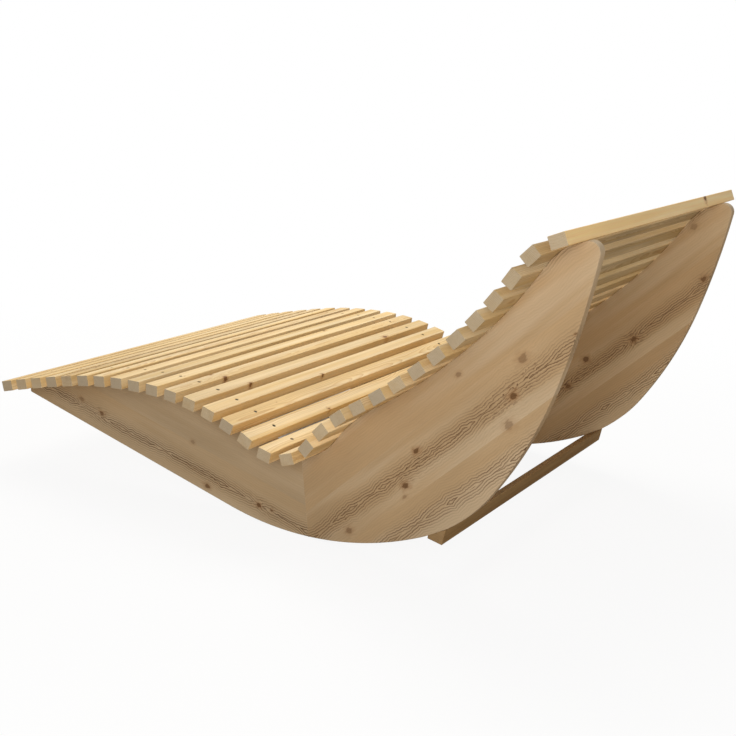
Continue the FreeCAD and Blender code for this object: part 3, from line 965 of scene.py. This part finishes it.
# %% Steel
steel = bpy.data.materials.new("screw_steel")
steel.use_nodes = True
steel_field = Field(steel.node_tree)
steel_shader = steel.node_tree.nodes["Principled BSDF"]
place = steel_field.add("ShaderNodeTexCoord", output=3)
spots = steel_field.add("ShaderNodeTexNoise", inputs={"Vector": place, "Scale": 900.0, "Detail": 2.0})
steel_colour = spots.mix(linear(96, 88, 76), linear(58, 52, 46))
steel.node_tree.links.new(steel_colour.socket, steel_shader.inputs["Base Color"])
steel.node_tree.links.new((spots * 0.3 + 0.35).socket, steel_shader.inputs["Roughness"])
steel_shader.inputs["Metallic"].default_value = 0.85
print("the steel takes", len(steel.node_tree.nodes), "nodes")

# %% Screws
def set_screws(name, node, size, seats):
    """One piece of all screws that stand at (middle, angle, height, across, y) in beams."""
    points, faces = screw_surface(*size)
    all_points = []
    all_faces = []
    for middle, angle, height, across, y in seats:
        stood = points + [across, y, height - screw_sink]
        all_faces += [[corner + len(points) * len(all_points) for corner in face] for face in faces]
        all_points.append(turned_into_place(stood, middle, angle))
    piece = make_piece(name, np.vstack(all_points), all_faces, steel, {})
    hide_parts(node)
    print(name, len(seats), "screws")


screw_sink = 0.0015
slat_seats = []
for name in slat_names:
    middle, angle = section_place(name)
    slat_seats += [(middle, angle, slat_height / 2, x, y) for x, y in slat_holes]
set_screws("slat_screws_steel", "slat_screws", slat_screw, slat_seats)
bar_seats = [(bar_middle, bar_angle + math.pi, 0.0, x, y) for x, y in bar_holes]
set_screws("crossbar_screws_steel", "crossbar_screws", bar_screw, bar_seats)

# %% [markdown]
# ## Light and floor
#
# The photograph is a product picture on white, and its light is soft: a wide lamp above the
# far side, a weak warm one beyond the head end and a wide one beside the camera. Three lamps
# alone would leave the inner faces black, so the world adds an even fill. The camera sees
# the world white. The floor is a plain plane with a paint of its own for the camera: nine
# tenths of what it shows is white near the lounger, and all of it further off, so that the
# shadow stays faint and no edge shows. Under the seat the white fades out and a darker paint
# stands there as painted shade, which shows through the gaps between the battens. What the
# floor throws back onto the wood is a dull brown everywhere.

# %% Studio
def area_light(name, place, target, size, power, colour):
    """A square lamp at a place, facing a target."""
    lamp = bpy.data.lights.new(name, "AREA")
    lamp.color = colour
    lamp.size = size
    lamp.energy = power
    holder = bpy.data.objects.new(name, lamp)
    back = np.array(place) - np.array(target)
    back = back / np.linalg.norm(back)
    side = np.cross([0.0, 0.0, 1.0], back)
    side = side / np.linalg.norm(side)
    placing = np.eye(4)
    placing[:3] = np.column_stack([side, np.cross(back, side), back, place])
    holder.matrix_world = Matrix(placing.tolist())
    bpy.context.scene.collection.objects.link(holder)


# A lamp's place and target in metres, its width, its power in watts and its colour.
lamps = {
    "key_light": ((-1.3, 1.4, 3.6), (0.0, 0.0, 0.2), 2.6, 122, (1.0, 0.98, 0.94)),
    "head_light": ((3.6, -0.4, 1.6), (0.3, 0.0, 0.4), 2.0, 5, (1.0, 0.90, 0.76)),
    "side_light": ((1.9, -3.5, 1.4), (0.2, -0.5, 0.4), 2.0, 62, (1.0, 0.96, 0.91)),
}
for name, settings in lamps.items():
    area_light(name, *settings)
print(len(lamps), "lamps of", [settings[3] for settings in lamps.values()], "watts")

# %% World
world_fill = 0.35
world = bpy.data.worlds.new("studio")
bpy.context.scene.world = world
world.use_nodes = True
tree = world.node_tree
sky = tree.nodes["Background"]
rays = tree.nodes.new("ShaderNodeLightPath")
level = tree.nodes.new("ShaderNodeMapRange")
level.inputs["To Min"].default_value = world_fill
level.inputs["To Max"].default_value = 1.0
tree.links.new(rays.outputs["Is Camera Ray"], level.inputs["Value"])
tree.links.new(level.outputs["Result"], sky.inputs["Strength"])
sky.inputs["Color"].default_value = (1.0, 1.0, 1.0, 1.0)
print("the world lights the wood with a strength of", world_fill)

# %% Floor
floor_half = 12.0
near_white = 0.90
white_from, white_by = 1.0, 2.6
shade_x, shade_y = -0.38, 0.38
shade_rim_x = (0.10, 0.42)
shade_rim_y = (0.20, 0.58)
floor_tint = (0.86, 0.85, 0.84, 1.0)
# The darker paint under the seat is painted shade.
painted_shade_tint = (0.44, 0.39, 0.34, 1.0)
thrown_back = (0.42, 0.36, 0.29, 1.0)

floor_mesh = bpy.data.meshes.new("floor")
corners = [(x * floor_half, y * floor_half, 0) for x, y in ((-1, -1), (1, -1), (1, 1), (-1, 1))]
floor_mesh.from_pydata(corners, [], [(0, 1, 2, 3)])
floor = bpy.data.objects.new("floor", floor_mesh)
bpy.context.scene.collection.objects.link(floor)
floor_paint = bpy.data.materials.new("floor_paint")
floor_paint.use_nodes = True
tree = floor_paint.node_tree
start = Field(tree)
seen_directly = start.add("ShaderNodeLightPath", output=0)
spot = parts_of(start.add("ShaderNodeTexCoord", output=3))
far_off = (spot[0] * spot[0] + spot[1] * spot[1]) ** 0.5
away_x = start.math("ABSOLUTE", spot[0] - shade_x)
away_y = start.math("ABSOLUTE", spot[1] - shade_y)
# Under the seat the floor shows painted shade: its white fades out and its paint turns darker.
under_seat_painted_shade = (1 - away_x.step(*shade_rim_x)) * (1 - away_y.step(*shade_rim_y))
white_share = far_off.step(white_from, white_by) * (1 - near_white) + near_white
white_share = white_share * (1 - under_seat_painted_shade)
paint = seen_directly.mix(thrown_back, under_seat_painted_shade.mix(floor_tint, painted_shade_tint))
diffuse = start.add("ShaderNodeBsdfDiffuse", {}, {"Color": paint})
white = start.add("ShaderNodeEmission", {}, {"Color": (1.0, 1.0, 1.0, 1.0), "Strength": 1.0})
shown = start.add("ShaderNodeMixShader", {}, {0: seen_directly * white_share, 1: diffuse, 2: white})
tree.nodes.remove(tree.nodes["Principled BSDF"])
tree.links.new(shown.socket, tree.nodes["Material Output"].inputs["Surface"])
floor_mesh.materials.append(floor_paint)
bpy.context.scene.view_settings.view_transform = "Standard"
print("the floor is", 2 * floor_half, "m wide and shows a share of", near_white, "in white")
